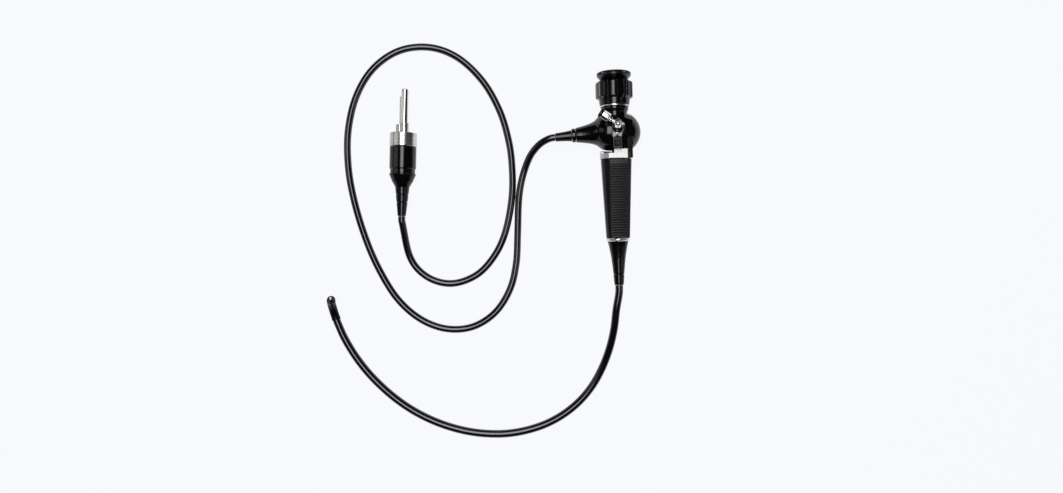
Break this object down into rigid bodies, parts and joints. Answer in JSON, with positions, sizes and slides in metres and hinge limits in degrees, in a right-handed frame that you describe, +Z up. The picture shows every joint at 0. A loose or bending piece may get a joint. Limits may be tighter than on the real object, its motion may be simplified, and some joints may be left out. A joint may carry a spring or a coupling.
{
  "type": "flexible endoscope",
  "caption": "Flexible fibre endoscope with eyepiece, angulation lever, ribbed grip, riveted bending section and a light-guide cable with its connector.",
  "frame": {"origin": "on the table under the middle of the control section, measured without the cable and the insertion tube", "axes": "+Y along the body to the eyepiece, +X to the side cover, +Z up from the table towards the front with the port"},
  "size_m": [0.2957, 0.3742, 0.0504],
  "materials": {
    "gloss_black": "polished black moulding",
    "satin_black": "satin black moulding",
    "rubber_black": "smooth black rubber",
    "bright_steel": "polished plated metal",
    "brushed_steel": "fine turned metal",
    "brass": "machined brass",
    "lens_glass": "clear optical glass"
  },
  "bodies": {
    "scope": {"neck_sleeve": "gloss_black", "control_housing": "gloss_black", "side_cover": "gloss_black", "cable_collar": "gloss_black", "connector_body": "gloss_black", "button_frame": "gloss_black", "eyecup": "satin_black", "side_plate": "satin_black", "image_bundle": "satin_black", "grip_shell": "satin_black", "grip_panel": "rubber_black", "insertion_boot": "rubber_black", "port_seal": "rubber_black", "strain_relief": "rubber_black", "light_guide_cable": "rubber_black", "connector_boot": "rubber_black", "bending_cover": "rubber_black", "insertion_tube": "rubber_black", "index_ring": "bright_steel", "grip_ring": "bright_steel", "port_seat": "bright_steel", "stopcock_body": "bright_steel", "button_spring": "bright_steel", "light_prong": "bright_steel", "locating_pin": "bright_steel", "bend_ferrule": "bright_steel", "eyepiece_tube": "brushed_steel", "chassis_band": "brushed_steel", "connector_ring": "brushed_steel", "connector_plate": "brushed_steel", "image_guide_ferrule": "brass", "shaft_bush": "brass", "cover_bush": "brass", "eyepiece_window": "lens_glass"},
    "diopter": {"diopter_ring": "satin_black"},
    "ocular": {"ocular_cell": "satin_black", "ocular_lens": "lens_glass"},
    "lever": {"angulation_lever": "satin_black", "thumb_pad": "rubber_black", "lever_shaft": "bright_steel", "wire_drum": "brass"},
    "wire_up": {"pull_wire_up": "bright_steel"},
    "wire_down": {"pull_wire_down": "bright_steel"},
    "stopcock": {"stopcock_handle": "bright_steel"},
    "nut": {"luer_nut": "bright_steel"},
    "cap": {"inlet_cap": "rubber_black"},
    "button": {"suction_button": "satin_black"},
    "bend_link_1": {"link_1": "bright_steel"},
    "bend_link_2": {"link_2": "bright_steel"},
    "bend_link_3": {"link_3": "bright_steel"},
    "bend_link_4": {"link_4": "bright_steel"},
    "bend_link_5": {"link_5": "bright_steel"},
    "bend_link_6": {"link_6": "bright_steel"},
    "bend_link_7": {"link_7": "bright_steel"},
    "tip": {"distal_tip": "satin_black", "objective_lens": "lens_glass", "light_lens_left": "lens_glass", "light_lens_right": "lens_glass"}
  },
  "joints": [
    {"name": "diopter_turn", "type": "hinge", "parent": "scope", "child": "diopter", "pos_m": [0.00897, 0.08, 0.018], "axis": [0, 1, 0], "range_deg": [-60, 60]},
    {"name": "ocular_slide", "type": "slide", "parent": "scope", "child": "ocular", "axis": [0, 1, 0], "range_m": [-0.0016, 0.0016]},
    {"name": "lever_swing", "type": "hinge", "parent": "scope", "child": "lever", "pos_m": [0.00897, 0.0442, 0.018], "axis": [1, 0, 0], "range_deg": [-17.3, 72.7]},
    {"name": "wire_up_slide", "type": "slide", "parent": "scope", "child": "wire_up", "axis": [0, 1, 0], "range_m": [-0.0067, 0.0017]},
    {"name": "wire_down_slide", "type": "slide", "parent": "scope", "child": "wire_down", "axis": [0, 1, 0], "range_m": [-0.0017, 0.0067]},
    {"name": "bend_1", "type": "hinge", "parent": "scope", "child": "bend_link_1", "pos_m": [-0.25806, -0.12257, 0.0044], "axis": [0.9019, 0.293, -0.3173], "range_deg": [-26.3, 6.3], "deforming": ["bending_cover"]},
    {"name": "bend_2", "type": "hinge", "parent": "bend_link_1", "child": "bend_link_2", "pos_m": [-0.25883, -0.11966, 0.0049], "axis": [0.9019, 0.293, -0.3173], "range_deg": [-26.3, 6.3]},
    {"name": "bend_3", "type": "hinge", "parent": "bend_link_2", "child": "bend_link_3", "pos_m": [-0.2594, -0.11684, 0.00589], "axis": [0.9019, 0.293, -0.3173], "range_deg": [-26.3, 6.3]},
    {"name": "bend_4", "type": "hinge", "parent": "bend_link_3", "child": "bend_link_4", "pos_m": [-0.25976, -0.11417, 0.00734], "axis": [0.9019, 0.293, -0.3173], "range_deg": [-26.3, 6.3]},
    {"name": "bend_5", "type": "hinge", "parent": "bend_link_4", "child": "bend_link_5", "pos_m": [-0.25989, -0.11176, 0.0092], "axis": [0.9019, 0.293, -0.3173], "range_deg": [-26.3, 6.3]},
    {"name": "bend_6", "type": "hinge", "parent": "bend_link_5", "child": "bend_link_6", "pos_m": [-0.25979, -0.10967, 0.01141], "axis": [0.9019, 0.293, -0.3173], "range_deg": [-26.3, 6.3]},
    {"name": "bend_7", "type": "hinge", "parent": "bend_link_6", "child": "bend_link_7", "pos_m": [-0.25946, -0.10796, 0.01392], "axis": [0.9019, 0.293, -0.3173], "range_deg": [-26.3, 6.3]},
    {"name": "bend_8", "type": "hinge", "parent": "bend_link_7", "child": "tip", "pos_m": [-0.25892, -0.10669, 0.01664], "axis": [0.9019, 0.293, -0.3173], "range_deg": [-26.3, 6.3]},
    {"name": "stopcock_turn", "type": "hinge", "parent": "scope", "child": "stopcock", "pos_m": [0.00897, 0.04907, 0.04581], "axis": [0, 0.5736, 0.8192], "range_deg": [0, 90]},
    {"name": "nut_turn", "type": "hinge", "parent": "scope", "child": "nut", "pos_m": [0.00897, 0.04718, 0.04311], "axis": [-0.829, 0.5592, 0], "continuous": true},
    {"name": "cap_pull", "type": "slide", "parent": "scope", "child": "cap", "axis": [-0.829, 0.5592, 0], "range_m": [0, 0.012]},
    {"name": "button_press", "type": "slide", "parent": "scope", "child": "button", "axis": [0, 0, -1], "range_m": [0, 0.0016], "stiffness_N_per_m": 150, "springref_m": -0.001, "deforming": ["button_spring"]}
  ],
  "couplings": [
    {"joint": "bend_1", "follows": "lever_swing", "ratio": -0.361},
    {"joint": "bend_2", "follows": "lever_swing", "ratio": -0.361},
    {"joint": "bend_3", "follows": "lever_swing", "ratio": -0.361},
    {"joint": "bend_4", "follows": "lever_swing", "ratio": -0.361},
    {"joint": "bend_5", "follows": "lever_swing", "ratio": -0.361},
    {"joint": "bend_6", "follows": "lever_swing", "ratio": -0.361},
    {"joint": "bend_7", "follows": "lever_swing", "ratio": -0.361},
    {"joint": "bend_8", "follows": "lever_swing", "ratio": -0.361},
    {"joint": "wire_up_slide", "follows": "lever_swing", "m_per_rad": -0.0052},
    {"joint": "wire_down_slide", "follows": "lever_swing", "m_per_rad": 0.0052},
    {"joint": "ocular_slide", "follows": "diopter_turn", "m_per_rad": 0.0014324}
  ]
}
